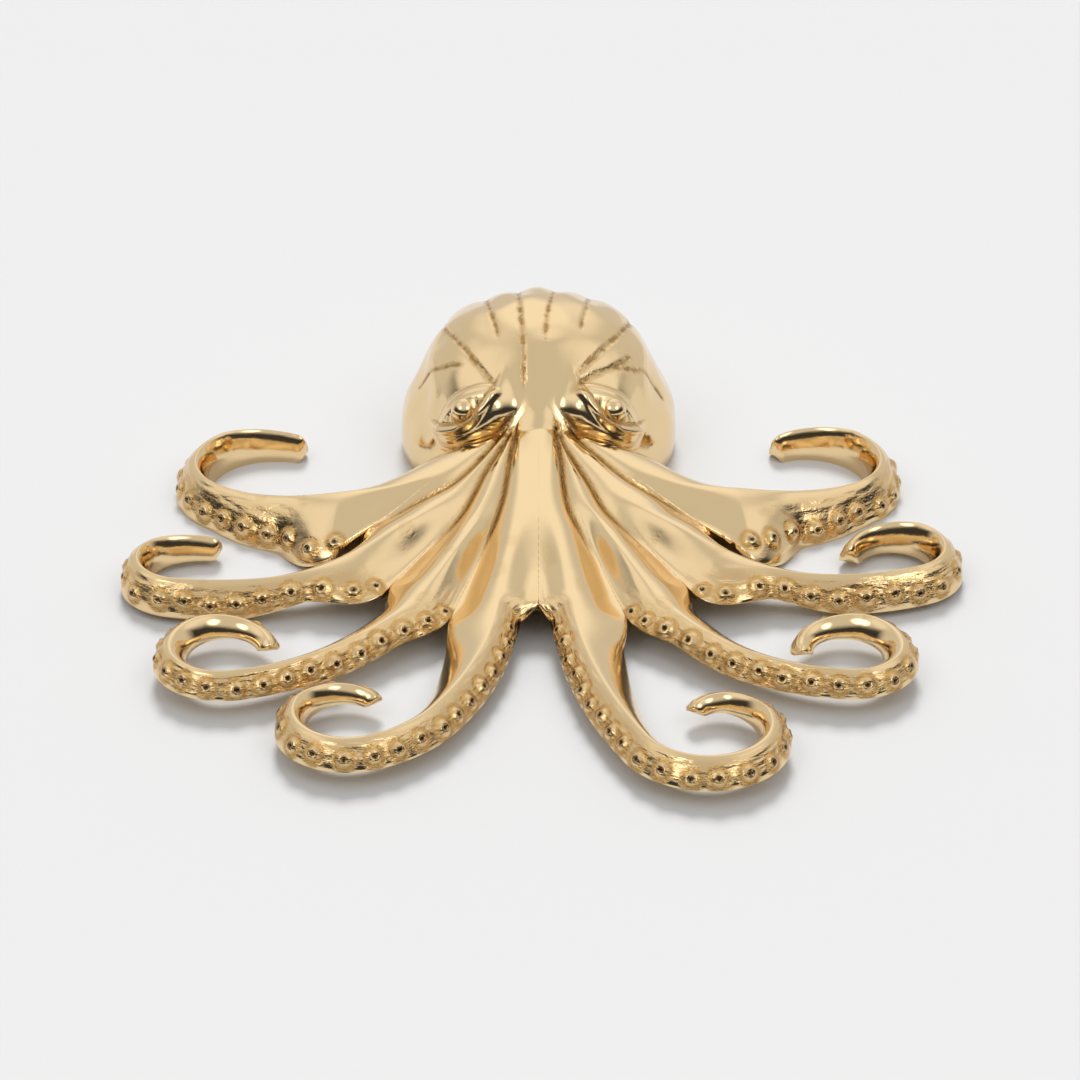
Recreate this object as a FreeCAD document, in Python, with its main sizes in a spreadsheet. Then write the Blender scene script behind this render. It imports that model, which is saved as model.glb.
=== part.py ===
import FreeCAD, Part
import math
import os

# Octopus figurine in polished brass, lying flat. Millimetres, Z up, X to the viewer's right.
# A hollow mantle casting stands on its rim. Eight arm castings, each with its own sector of
# the web, are brazed to it and to each other along seams that run out from the neck.
# Everything is laid out from the neck, the point of the floor plan where the eight arm ridges
# meet the forehead, and moved at the end so that the middle of the footprint is the origin.

SIZES = (
    ("head_radius", 49.0, "round of the mantle"),
    ("head_centre_height", 7.5, "middle of that round above the floor"),
    ("head_wall", 3.5, "thickness of the mantle casting"),
    ("neck_setback", 43.0, "neck to the middle of the mantle"),
    ("flute_width", 1.2, "grooves that run over the crown"),
    ("flute_depth", 0.9, "grooves that run over the crown"),
    ("brow_height", 30.0, "place on the forehead from which the flutes spread, above the round's middle"),
    ("brow_forward", 39.0, "the same place, in front of the round's middle"),
    ("eye_spacing", 51.0, "between the middles of the two eyes"),
    ("eye_height", 30.5, "middle of the eye above the floor"),
    ("eye_setback", 12.0, "middle of the eye behind the neck"),
    ("eye_length", 27.0, "from the inner to the outer corner, along the lids' middles"),
    ("eye_opening", 13.0, "between the two lids' middles"),
    ("upper_lid_diameter", 4.6, "fold over the eye"),
    ("lower_lid_diameter", 7.4, "fold under the eye"),
    ("lid_sink", 1.0, "lids' middles below the mantle's skin"),
    ("eye_ball_diameter", 8.4, "cast-in eyeball"),
    ("eye_ball_rise", 0.8, "eyeball's middle above the mantle's skin"),
    ("eye_mound_radius", 13.0, "round of the flesh between the lids"),
    ("eye_mound_rise", 2.2, "that flesh above the mantle's skin"),
    ("neck_height", 28.5, "ridges where they leave the forehead"),
    ("arm_height", 13.5, "ridges of the free arms"),
    ("ridge_slope_length", 120.0, "run in which the ridges come down"),
    ("tip_drop", 4.0, "last lowering of the ridge at the tip"),
    ("tip_length", 30.0, "stretch over which the ridge lowers at the tip"),
    ("web_reach_middle", 90.0, "neck to the web's edge between the two front arms"),
    ("web_reach_front", 102.0, "neck to the web's edge between front arm and third arm"),
    ("web_reach_side", 97.0, "neck to the web's edge between third arm and second arm"),
    ("web_reach_rear", 82.0, "neck to the web's edge between second arm and rear arm"),
    ("web_edge_run", 20.0, "run in which an arm draws in past the web's edge"),
    ("web_underside", 8.0, "web's edge above the floor, but for the rear arms"),
    ("touch_down_run", 35.0, "run past the web in which an arm sinks to its own underside"),
    ("valley_depth", 4.0, "seams of the web below the ridges beside them"),
    ("valley_run", 45.0, "run from the neck in which the valleys reach that depth"),
    ("seam_reach", 108.0, "neck to where the seams between arms end"),
    ("arm_wall", 3.5, "thickness of the hollow part of an arm casting"),
    ("hollow_start", 24.0, "neck to the start of the hollow under an arm"),
    ("hollow_reach", 100.0, "neck to the end of the hollow under an arm"),
    ("braze_gap", 0.1, "brass filler between an arm and the mantle"),
    ("rear_flank", 34.0, "half width of the rear arm's shoulder beside the head"),
    ("rear_flank_reach", 30.0, "neck to where that shoulder starts to draw in"),
    ("rear_flank_run", 48.0, "run in which it draws in"),
    ("tip_breadth", 7.4, "arm at its tip"),
    ("curl_length", 70.0, "tip to the start of the curl"),
    ("underside_1", 0.0, "rear arm's underside above the floor"),
    ("underside_2", 2.4, "second arm's underside above the floor"),
    ("underside_3", 6.0, "third arm's underside above the floor"),
    ("underside_4", 5.4, "front arm's underside above the floor"),
    ("web_breadth_1", 24.0, "rear arm at the web's edge"),
    ("web_breadth_2", 15.0, "second arm at the web's edge"),
    ("web_breadth_3", 16.4, "third arm at the web's edge"),
    ("web_breadth_4", 21.5, "front arm at the web's edge"),
    ("curl_breadth_1", 13.0, "rear arm in its curl"),
    ("curl_breadth_2", 12.0, "second arm in its curl"),
    ("curl_breadth_3", 11.6, "third arm in its curl"),
    ("curl_breadth_4", 12.0, "front arm in its curl"),
    ("length_left_1", 194.0, "ridge line, neck to tip"),
    ("length_left_2", 207.0, "ridge line, neck to tip"),
    ("length_left_3", 248.0, "ridge line, neck to tip"),
    ("length_left_4", 250.0, "ridge line, neck to tip"),
    ("length_right_1", 192.0, "ridge line, neck to tip"),
    ("length_right_2", 219.0, "ridge line, neck to tip"),
    ("length_right_3", 249.0, "ridge line, neck to tip"),
    ("length_right_4", 261.0, "ridge line, neck to tip"),
    ("sucker_start", 4.0, "web's edge to the first sucker"),
    ("sucker_diameter", 6.6, "largest suckers"),
    ("sucker_rise", 1.6, "sucker above the flank"),
    ("sucker_pitch", 9.4, "from one sucker to the next"),
    ("sucker_end_margin", 20.0, "bare stretch at the tip"),
    ("cut_overrun", 10.0, "how far cutting shapes run past what they cut"),
)

# Flutes on the crown: directions round the brow, in degrees from straight up.
FLUTE_DIRECTIONS = (-62.0, -45.0, -25.0, -10.0, 6.0, 23.0, 43.0, 60.0)
FLUTE_START = 28.0
FLUTE_SPAN = 120.0
LID_FLATS = 8

# Routes of the arms' ridges in the floor plan. The first number is the heading at the neck, in
# degrees from straight ahead to the arm's own side. Then come the shares of the arm's length
# that each stretch takes, with the turn outwards over that stretch in degrees.
ROUTE_SHARES = {
    "left_1": (57.1, (0.188, 0.0), (0.218, 42.6), (0.216, 27.3), (0.307, 139.3), (0.071, 23.9)),
    "left_2": (40.3, (0.299, 0.0), (0.242, 36.8), (0.180, 22.5), (0.204, 150.7), (0.075, 31.4)),
    "left_3": (21.9, (0.262, 0.0), (0.283, 29.2), (0.132, 25.7), (0.213, 169.8), (0.110, 105.0)),
    "left_4": (8.0, (0.383, 0.0), (0.234, 21.6), (0.103, 36.9), (0.215, 178.5), (0.065, 75.0)),
    "right_1": (59.9, (0.215, 0.0), (0.166, 39.9), (0.229, 21.6), (0.340, 155.4), (0.050, 32.9)),
    "right_2": (39.7, (0.254, 0.0), (0.266, 41.5), (0.186, 31.6), (0.215, 169.2), (0.079, 65.8)),
    "right_3": (21.7, (0.240, 0.0), (0.259, 21.0), (0.182, 41.1), (0.239, 199.0), (0.080, 85.0)),
    "right_4": (6.8, (0.357, 0.0), (0.295, 19.0), (0.045, 31.3), (0.248, 185.2), (0.055, 90.0)),
}

# Seams between the arms: degrees from straight ahead, and the size that says how far out the
# web goes there. An arm has a front seam and a rear seam, but the rear arm has no rear seam,
# because its shoulder dies into the mantle's side.
SEAMS = {"middle": 0.0, "front": 17.0, "side": 33.0, "rear": 54.0}
ARM_SEAMS = {1: ("rear", None), 2: ("side", "rear"), 3: ("front", "side"), 4: ("middle", "front")}

# Share of an arm's breadth that lies on the outer side of its bend, at the web and in the curl.
OUTER_SHARES = {1: (0.46, 0.60), 2: (0.45, 0.59), 3: (0.45, 0.49), 4: (0.34, 0.60)}
# Places of the sections, as shares of the arm's length: a few in the web, then evenly spaced.
WEB_SECTION_SHARES = (0.01, 0.06, 0.12, 0.18, 0.24)
FIRST_EVEN_SHARE = 0.3
EVEN_SECTIONS = 26
ARCH_ANGLES = (0.0, 28.0, 54.0, 78.0, 102.0, 126.0, 152.0, 180.0)
CORE_ANGLES = (0.0, 50.0, 90.0, 130.0, 180.0)

# Suckers sit on the outer flank, that many degrees up the arch from the outer foot.
SUCKER_FLANK_ANGLE = 38.0
SUCKER_SIDES = 6
SUCKER_FACE_SHARE = 0.5


def make_sheet(doc):
    """The driving dimensions, one alias each."""
    sheet = doc.addObject("Spreadsheet::Sheet", "Sizes")
    for row, (name, value, note) in enumerate(SIZES, start=1):
        sheet.set("A%d" % row, name)
        sheet.set("B%d" % row, str(value))
        sheet.set("C%d" % row, note)
        sheet.setAlias("B%d" % row, name)
    doc.recompute()
    return sheet


def bind(obj, **bindings):
    """Ties an object's properties to cells of the sheet; a double underscore stands for a dot."""
    for path, expression in bindings.items():
        obj.setExpression(path.replace("__", "."), expression)
    return obj


def head_round(doc, name, less="", whole=False):
    """The mantle's round down to the floor, or a whole one smaller by a size of the sheet."""
    radius = "(Sizes.head_radius%s)" % less
    round_ = bind(
        doc.addObject("Part::Sphere", name),
        Radius=radius,
        Placement__Base__y="Sizes.neck_setback",
        Placement__Base__z="Sizes.head_centre_height",
    )
    if not whole:
        bind(round_, Angle1="-asin(Sizes.head_centre_height / %s)" % radius)
    return round_


def joined(doc, kind, name, base, tool):
    """A boolean of two objects."""
    obj = doc.addObject(kind, name)
    obj.Base = base
    obj.Tool = tool
    return obj


def head_centre(sheet):
    return FreeCAD.Vector(0, sheet.neck_setback, sheet.head_centre_height)


def flutes(doc, sheet):
    """Grooves that spread from the brow over the crown and down the back."""
    brow = FreeCAD.Vector(0, -sheet.brow_forward, sheet.brow_height).normalize()
    side = FreeCAD.Vector(1, 0, 0)
    rising = brow.cross(side)
    discs = []
    for index, direction in enumerate(FLUTE_DIRECTIONS, start=1):
        turn = math.radians(direction)
        start = math.radians(FLUTE_START)
        across = side * math.sin(turn) + rising * math.cos(turn)
        normal = brow.cross(across)
        first = brow * math.cos(start) + across * math.sin(start)
        disc = doc.addObject("Part::Cylinder", "flute_disc_%d" % index)
        disc.Angle = FLUTE_SPAN
        bind(disc, Radius="Sizes.head_radius + Sizes.cut_overrun", Height="Sizes.flute_width")
        turned = FreeCAD.Rotation(first, normal.cross(first), normal, "ZXY")
        disc.Placement = FreeCAD.Placement(head_centre(sheet) - normal * (sheet.flute_width / 2), turned)
        discs.append(disc)
    fan = doc.addObject("Part::MultiFuse", "flute_fan")
    fan.Shapes = discs
    floor = head_round(doc, "flute_floor", " - Sizes.flute_depth", whole=True)
    return joined(doc, "Part::Cut", "flute_cut", fan, floor)


def lid(doc, name, middle, along, towards, outward, thickness):
    """One eyelid: a filed fold that bows from corner to corner, away from the eye's middle."""
    bow = "(Sizes.eye_length ^ 2 + Sizes.eye_opening ^ 2) / (4 * Sizes.eye_opening)"
    profile = doc.addObject("Part::RegularPolygon", name + "_profile")
    profile.Polygon = LID_FLATS
    profile.Placement.Rotation = FreeCAD.Rotation(FreeCAD.Vector(1, 0, 0), 90)
    bind(profile, Circumradius="Sizes.%s / 2" % thickness, Placement__Base__x=bow)
    fold = doc.addObject("Part::Revolution", name)
    fold.Source = profile
    fold.Axis = FreeCAD.Vector(0, 0, 1)
    fold.Solid = True
    bind(fold, Angle="2 * asin(Sizes.eye_length / 2 / (%s))" % bow)
    doc.recompute()
    half_turn = math.radians(fold.Angle / 2)
    first = towards * math.cos(half_turn) - along * math.sin(half_turn)
    hub = middle - towards * (profile.Placement.Base.x * math.cos(half_turn))
    fold.Placement = FreeCAD.Placement(hub, FreeCAD.Rotation(first, outward.cross(first), outward, "ZXY"))
    return fold


def eye(doc, sheet, name, side):
    """One eye, all cast in: flesh, eyeball, and a lid above and below."""
    from_centre = FreeCAD.Vector(
        side * sheet.eye_spacing / 2,
        sheet.eye_setback - sheet.neck_setback,
        sheet.eye_height - sheet.head_centre_height,
    )
    outward = from_centre.normalize()
    skin = head_centre(sheet) + outward * sheet.head_radius
    slant = FreeCAD.Vector(side * 21.0, 5.0, -17.0)
    along = (slant - outward * slant.dot(outward)).normalize()
    upward = outward.cross(along) * side
    upward = upward if upward.z > 0 else upward * -1
    ball = bind(doc.addObject("Part::Sphere", name + "_ball"), Radius="Sizes.eye_ball_diameter / 2")
    ball.Placement.Base = skin + outward * sheet.eye_ball_rise
    mound = bind(doc.addObject("Part::Sphere", name + "_mound"), Radius="Sizes.eye_mound_radius")
    mound.Placement.Base = skin + outward * (sheet.eye_mound_rise - sheet.eye_mound_radius)
    middle = skin - outward * sheet.lid_sink
    turned_along = along if outward.cross(along).dot(upward) > 0 else along * -1
    upper = lid(doc, name + "_upper_lid", middle, turned_along * -1, upward, outward, "upper_lid_diameter")
    lower = lid(doc, name + "_lower_lid", middle, turned_along, upward * -1, outward, "lower_lid_diameter")
    return [ball, mound, upper, lower]


def mantle(doc, sheet):
    """The head casting: a hollow dome, open below, with flutes on its crown and both eyes."""
    dome = head_round(doc, "mantle_dome")
    fluted = joined(doc, "Part::Cut", "mantle_fluted", dome, flutes(doc, sheet))
    outside = doc.addObject("Part::MultiFuse", "mantle_outside")
    outside.Shapes = [fluted] + eye(doc, sheet, "eye_left", -1) + eye(doc, sheet, "eye_right", 1)
    hollow = head_round(doc, "mantle_hollow", " - Sizes.head_wall", whole=True)
    return joined(doc, "Part::Cut", "mantle", outside, hollow)


def ease(position):
    """From 0 to 1 without a corner at either end."""
    held = min(max(position, 0.0), 1.0)
    return (1 - math.cos(math.pi * held)) / 2


def between(start, end, position):
    return start + (end - start) * ease(position)


class Arm:
    """The route and the changing section of one arm, read from the sheet."""

    def __init__(self, sheet, name):
        side_name, number = name.split("_")
        self.sheet = sheet
        self.side = -1 if side_name == "left" else 1
        self.number = int(number)
        self.length = getattr(sheet, "length_" + name)
        self.underside = getattr(sheet, "underside_" + number)
        self.web_breadth = getattr(sheet, "web_breadth_" + number)
        self.curl_breadth = getattr(sheet, "curl_breadth_" + number)
        self.heading, *self.stretches = ROUTE_SHARES[name]
        self.front_seam, self.rear_seam = ARM_SEAMS[self.number]
        self.outer_web_share, self.outer_curl_share = OUTER_SHARES[self.number]

    def place(self, distance):
        """Point of the ridge in the floor plan and its heading in degrees."""
        x = 0.0
        y = 0.0
        heading = self.heading
        left = distance
        for length_share, turn in self.stretches:
            run = min(left, length_share * self.length)
            turned = turn * run / (length_share * self.length)
            middle = math.radians(heading + turned / 2)
            half = math.radians(turned / 2)
            chord = run * math.sin(half) / half if half else run
            x += chord * math.sin(middle)
            y -= chord * math.cos(middle)
            heading += turned
            left -= run
        return x, y, heading

    def ridge(self, distance):
        """Height of the ridge above the floor."""
        sheet = self.sheet
        slope = between(sheet.neck_height, sheet.arm_height, distance / sheet.ridge_slope_length)
        to_tip = (self.length - distance) / sheet.tip_length
        return slope - sheet.tip_drop * (1 - min(to_tip, 1.0))

    def foot(self, distance):
        """Height of the flat underside above the floor."""
        sheet = self.sheet
        if self.rear_seam is None:
            return self.underside
        web_end = getattr(sheet, "web_reach_" + self.front_seam)
        sunk = (distance - web_end) / sheet.touch_down_run
        return between(sheet.web_underside, self.underside, sunk)

    def seam_distance(self, distance, seam):
        """From the ridge, square to it, to a seam that runs out from the neck."""
        x, y, heading = self.place(distance)
        seam_angle = math.radians(SEAMS[seam])
        off = x * math.cos(seam_angle) + y * math.sin(seam_angle)
        return abs(off / math.cos(math.radians(heading) - seam_angle))

    def free_halves(self, distance):
        """Half widths of the free arm: outer side of the bend, then inner side."""
        sheet = self.sheet
        curl_start = self.length - sheet.curl_length
        if distance < curl_start:
            position = (distance - sheet.web_reach_side) / (curl_start - sheet.web_reach_side)
            breadth = between(self.web_breadth, self.curl_breadth, position)
            outer_share = between(self.outer_web_share, self.outer_curl_share, position)
        else:
            position = (distance - curl_start) / sheet.curl_length
            breadth = between(self.curl_breadth, sheet.tip_breadth, position)
            outer_share = self.outer_curl_share
        return breadth * outer_share, breadth * (1 - outer_share)

    def web_half(self, distance, seam, free_half):
        """Half width towards a seam: wide enough for the valley, drawn in past the web's edge."""
        sheet = self.sheet
        reach = getattr(sheet, "web_reach_" + seam)
        drawn_in = (distance - reach) / sheet.web_edge_run + 0.5
        if drawn_in >= 1:
            return free_half
        rise = self.ridge(distance) - self.foot(distance)
        valley = between(0, sheet.valley_depth, distance / sheet.valley_run)
        spread = math.sqrt(1 - (1 - valley / rise) ** 2)
        return between(self.seam_distance(distance, seam) / spread, free_half, drawn_in)

    def halves(self, distance):
        """Half widths anywhere: outer side of the bend, then inner side."""
        sheet = self.sheet
        outer, inner = self.free_halves(distance)
        outer = self.web_half(distance, self.front_seam, outer)
        if self.rear_seam is None:
            past = (distance - sheet.rear_flank_reach) / sheet.rear_flank_run
            return outer, between(sheet.rear_flank, inner, past)
        return outer, self.web_half(distance, self.rear_seam, inner)

    def point(self, distance, offset, height):
        """Point beside the ridge: a positive offset is on the inner side of the bend."""
        x, y, heading = self.place(distance)
        turn = math.radians(heading)
        x += offset * math.cos(turn)
        y += offset * math.sin(turn)
        return FreeCAD.Vector(self.side * x, y, height)

    def arch_point(self, distance, angle, wall=0.0):
        """Point of the arch: 0 degrees is the outer foot and 180 the inner foot."""
        outer, inner = self.halves(distance)
        half = outer if angle < 90 else inner
        shrunk = max(half - wall, half / 3)
        rise = self.ridge(distance) - self.foot(distance) - wall
        offset = -shrunk * math.cos(math.radians(angle))
        return self.point(distance, offset, self.foot(distance) + rise * math.sin(math.radians(angle)))


def arch_section(arm, distance):
    """Outline of the casting's outside: an arch of hand-filed flats on a flat underside."""
    arch = [arm.arch_point(distance, angle) for angle in ARCH_ANGLES]
    return Part.makePolygon(arch + arch[:1])


def core_section(arm, distance):
    """Outline of the sand core that leaves the hollow below, a wall inside the arch."""
    sheet = arm.sheet
    arch = [arm.arch_point(distance, angle, sheet.arm_wall) for angle in CORE_ANGLES]
    below = FreeCAD.Vector(0, 0, -sheet.cut_overrun)
    outline = [arch[0] + below] + arch + [arch[-1] + below]
    return Part.makePolygon(outline + outline[:1])


def sector(sheet, side, start, end):
    """Upright slice round the neck from one direction to another, to trim an arm at a seam."""
    tall = sheet.neck_height + 2 * sheet.cut_overrun
    slice_ = Part.makeCylinder(
        sheet.seam_reach, tall, FreeCAD.Vector(0, 0, -sheet.cut_overrun), FreeCAD.Vector(0, 0, 1),
        end - start,
    )
    first = -90 + start if side > 0 else -90 - end
    slice_.rotate(FreeCAD.Vector(0, 0, 0), FreeCAD.Vector(0, 0, 1), first)
    return slice_


def mantle_bed(sheet):
    """The mantle's round, grown by the braze gap, that the arms are bedded against."""
    return Part.makeSphere(sheet.head_radius + sheet.braze_gap, head_centre(sheet))


def sucker(arm, distance, diameter):
    """A low bud on the outer flank, square to it."""
    sheet = arm.sheet
    seat = arm.arch_point(distance, SUCKER_FLANK_ANGLE)
    lower = arm.arch_point(distance, SUCKER_FLANK_ANGLE - 8)
    upper = arm.arch_point(distance, SUCKER_FLANK_ANGLE + 8)
    ahead = arm.point(distance + diameter / 4, 0, 0) - arm.point(distance - diameter / 4, 0, 0)
    outward = ahead.cross(upper - lower).normalize() * arm.side
    turned = FreeCAD.Rotation(FreeCAD.Vector(0, 0, 1), outward)
    rings = []
    for lift, radius in ((-sheet.sucker_rise, diameter / 2), (sheet.sucker_rise / 3, diameter / 2),
                         (sheet.sucker_rise, SUCKER_FACE_SHARE * diameter / 2)):
        corners = []
        for step in range(SUCKER_SIDES + 1):
            turn = 2 * math.pi * (step + 0.5) / SUCKER_SIDES
            flat = FreeCAD.Vector(radius * math.cos(turn), radius * math.sin(turn), lift)
            corners.append(seat + turned.multVec(flat))
        rings.append(Part.makePolygon(corners))
    return Part.makeLoft(rings, True, True)


def suckers(arm):
    """The row along the outer flank, from the web's edge to near the tip, smaller with the arm."""
    sheet = arm.sheet
    distance = getattr(sheet, "web_reach_" + arm.front_seam) + sheet.sucker_start
    broad = arm.free_halves(distance)[0]
    row = []
    while distance < arm.length - sheet.sucker_end_margin:
        narrowing = min(arm.free_halves(distance)[0] / broad, 1.0)
        row.append(sucker(arm, distance, sheet.sucker_diameter * narrowing))
        distance += sheet.sucker_pitch * narrowing
    return row


def arm_shape(sheet, name):
    """One arm casting: arch, hollow below, seams, bed on the mantle and suckers."""
    arm = Arm(sheet, name)
    even_step = (1 - FIRST_EVEN_SHARE) / EVEN_SECTIONS
    evens = [FIRST_EVEN_SHARE + even_step * step for step in range(EVEN_SECTIONS + 1)]
    stations = [share * arm.length for share in list(WEB_SECTION_SHARES) + evens]
    shape = Part.makeLoft([arch_section(arm, station) for station in stations], True, True)
    inside = [station for station in stations if sheet.hollow_start < station < sheet.hollow_reach]
    hollow = [sheet.hollow_start] + inside + [sheet.hollow_reach]
    core = Part.makeLoft([core_section(arm, station) for station in hollow], True, True)
    shape = shape.cut(core)
    front = SEAMS[arm.front_seam]
    shape = shape.cut(sector(sheet, arm.side, front - 90, front))
    if arm.rear_seam is not None:
        rear = SEAMS[arm.rear_seam]
        shape = shape.cut(sector(sheet, arm.side, rear, rear + 90))
    shape = shape.cut(mantle_bed(sheet))
    shape = shape.fuse(suckers(arm))
    return max(shape.Solids, key=lambda solid: solid.Volume)


def build(doc):
    """All sub-parts, each an object with its own label."""
    sheet = make_sheet(doc)
    head = mantle(doc, sheet)
    head.Label = "mantle"
    doc.recompute()
    parts = [head]
    for name in ROUTE_SHARES:
        feature = doc.addObject("Part::Feature", "arm_" + name)
        feature.Label = "arm_" + name
        feature.Shape = arm_shape(sheet, name)
        parts.append(feature)
    return parts


def centre_on_footprint(doc, parts):
    """Moves every sub-part so that the origin is the middle of the footprint on the floor."""
    box = FreeCAD.BoundBox()
    for part in parts:
        box.add(part.Shape.optimalBoundingBox(False, False))
    shift = FreeCAD.Vector(-box.Center.x, -box.Center.y, 0)
    for part in parts:
        part.Placement = FreeCAD.Placement(shift, FreeCAD.Rotation())
    doc.recompute()


def check(doc, parts):
    """Stops before anything is written if an object failed or a solid is unsound."""
    for obj in doc.Objects:
        if "Invalid" in obj.State or "Error" in obj.State:
            raise RuntimeError("%s failed" % obj.Label)
    for part in parts:
        if part.Shape.isNull() or not part.Shape.isValid() or len(part.Shape.Solids) != 1:
            raise RuntimeError("%s has no sound solid" % part.Label)
        print(part.Label, "volume", round(part.Shape.Volume), "mm3")


def main():
    doc = FreeCAD.newDocument("octopus_figurine")
    parts = build(doc)
    centre_on_footprint(doc, parts)
    check(doc, parts)
    os.makedirs("parts", exist_ok=True)
    for part in parts:
        part.Shape.exportStep(os.path.join("parts", part.Label + ".step"))


main()
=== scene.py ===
import math

import bpy
import numpy as np
from bpy.props import FloatProperty, FloatVectorProperty, PointerProperty
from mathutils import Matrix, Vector
from mathutils.bvhtree import BVHTree


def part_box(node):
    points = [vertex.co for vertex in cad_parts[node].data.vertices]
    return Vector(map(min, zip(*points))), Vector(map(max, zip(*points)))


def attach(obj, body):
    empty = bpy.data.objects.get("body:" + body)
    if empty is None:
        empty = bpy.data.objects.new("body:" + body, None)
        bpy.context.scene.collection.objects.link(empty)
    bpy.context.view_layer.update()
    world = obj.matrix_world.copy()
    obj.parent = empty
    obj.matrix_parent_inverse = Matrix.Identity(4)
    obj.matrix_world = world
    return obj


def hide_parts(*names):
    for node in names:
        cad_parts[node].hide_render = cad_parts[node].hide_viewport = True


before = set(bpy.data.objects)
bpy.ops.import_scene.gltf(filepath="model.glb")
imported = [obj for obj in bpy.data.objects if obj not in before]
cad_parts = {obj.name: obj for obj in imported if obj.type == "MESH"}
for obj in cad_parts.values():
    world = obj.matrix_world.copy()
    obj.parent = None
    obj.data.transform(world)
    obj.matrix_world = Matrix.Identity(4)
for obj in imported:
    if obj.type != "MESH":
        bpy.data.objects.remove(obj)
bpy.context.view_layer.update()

bl_info = {
    "name": "Octopus figurine",
    "version": (1, 0, 0),
    "blender": (4, 5, 0),
    "location": "3D View > Sidebar > Octopus",
    "description": "Polished cast brass octopus with a fluted mantle and eight curled arms",
    "category": "Object",
}

MM = 0.001

# Edges steeper than this many degrees, such as the rims, stay sharp.
SHARP_EDGE = 70.0

# Further than any two points are apart, in millimetres.
FAR_AWAY = 1e9


def length(title, millimetres, about):
    """A size of the ornament, given in millimetres."""
    return FloatProperty(name=title, description=about, default=millimetres * MM, unit="LENGTH")


def linear(colour):
    """Screen colour such as #D9B36A as linear light, with full cover."""
    parts = [int(colour[index:index + 2], 16) / 255 for index in (1, 3, 5)]
    return tuple(p / 12.92 if p <= 0.04045 else ((p + 0.055) / 1.055) ** 2.4 for p in parts) + (1.0,)


def tint(title, colour, about):
    """A colour, given as it shows on the screen."""
    return FloatVectorProperty(name=title, description=about, default=linear(colour), subtype="COLOR", size=4)


class OctopusSizes(bpy.types.PropertyGroup):
    """Lengths that the mantle and the arms are shaped from."""

    head_radius: length("Mantle round", 49.0, "Round of the mantle")
    head_centre_height: length("Mantle centre", 7.5, "Middle of that round above the floor")
    head_wall: length("Mantle wall", 3.5, "Thickness of the mantle casting")
    neck_setback: length("Neck setback", 43.0, "Neck to the middle of the mantle")
    neck_height: length("Neck height", 28.5, "Ridges where they leave the forehead")
    arm_height: length("Arm height", 13.5, "Ridges of the free arms")
    ridge_slope_length: length("Ridge slope", 120.0, "Run in which the ridges come down")
    tip_drop: length("Tip drop", 4.0, "Last lowering of the ridge at the tip")
    tip_length: length("Tip length", 30.0, "Stretch over which the ridge lowers at the tip")
    web_reach_middle: length("Web in front", 90.0, "Neck to the web's edge between the front arms")
    web_reach_front: length("Web at third arm", 102.0, "Neck to the web's edge, front arm to third arm")
    web_reach_side: length("Web at second arm", 97.0, "Neck to the web's edge, third arm to second arm")
    web_reach_rear: length("Web at rear arm", 79.0, "Neck to the web's edge, second arm to rear arm")
    web_edge_run: length("Web edge run", 20.0, "Run in which an arm draws in past the web's edge")
    web_underside: length("Web underside", 8.0, "Web's edge above the floor")
    touch_down_run: length("Touch down run", 35.0, "Run in which an arm sinks to its own underside")
    valley_depth: length("Valley depth", 5.2, "Seams of the web below the ridges beside them")
    valley_run: length("Valley run", 45.0, "Run from the neck in which the valleys reach that depth")
    arm_wall: length("Arm wall", 3.5, "Thickness of the hollow part of an arm")
    hollow_start: length("Hollow start", 24.0, "Neck to the start of the hollow under an arm")
    hollow_reach: length("Hollow reach", 100.0, "Neck to the end of the hollow under an arm")
    rear_flank: length("Rear flank", 34.0, "Half width of the rear arm's shoulder beside the head")
    rear_flank_reach: length("Rear flank reach", 30.0, "Neck to where that shoulder starts to draw in")
    rear_flank_run: length("Rear flank run", 48.0, "Run in which it draws in")
    tip_breadth: length("Tip breadth", 7.4, "Arm at its tip")
    curl_length: length("Curl length", 70.0, "Tip to the start of the curl")
    eyeball_radius: length("Eyeball", 4.6, "Round of each eyeball")
    lower_lid_rise: length("Lower lid", 4.8, "Roll of flesh below each eye")
    upper_lid_rise: length("Upper lid", 1.6, "Fold above each eye")
    sucker_radius: length("Sucker", 3.7, "Sucker near the web")
    sucker_taper: length("Sucker taper", 1.5, "How much smaller a sucker at the tip is")
    sucker_pit: length("Sucker pit", 1.15, "Round of the pit in a sucker")
    grid: length("Surface grid", 0.5, "Spacing of the modelled surface")


class OctopusColours(bpy.types.PropertyGroup):
    """Colours of the brass and of the paper below it."""

    bright_brass: tint("Bright brass", "#EDD1A2", "Polished faces")
    # Grainy and shaded brass: the casting's own grain, and also painted shade, a deeper gold that stands in
    # for the shade in the creases, hollows and arm flanks.
    grainy_shaded_brass: tint("Grainy brass", "#C99A4E", "Creases and patches that still show the sand's grain")
    # Pit shade is painted shade, a dark brown painted into the sucker pits and the bottoms of the creases.
    pit_shade: tint("Pit shade", "#3A2409", "Sucker pits and the bottoms of the creases")
    paper: tint("Paper", "#CECECE", "Floor of the stage")


# One line for each arm: side, underside, breadth at the web and in the curl, length of the
# ridge, all in millimetres, then the seams in front and behind.
ARMS = {
    "arm_left_1": (-1, 0.0, 24.0, 13.0, 194.0, "rear", None),
    "arm_left_2": (-1, 2.4, 15.0, 12.0, 207.0, "side", "rear"),
    "arm_left_3": (-1, 6.0, 16.4, 11.6, 248.0, "front", "side"),
    "arm_left_4": (-1, 5.4, 21.5, 12.0, 250.0, "middle", "front"),
    "arm_right_1": (1, 0.0, 24.0, 13.0, 192.0, "rear", None),
    "arm_right_2": (1, 2.4, 15.0, 12.0, 219.0, "side", "rear"),
    "arm_right_3": (1, 6.0, 16.4, 11.6, 249.0, "front", "side"),
    "arm_right_4": (1, 5.4, 21.5, 12.0, 261.0, "middle", "front"),
}

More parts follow.
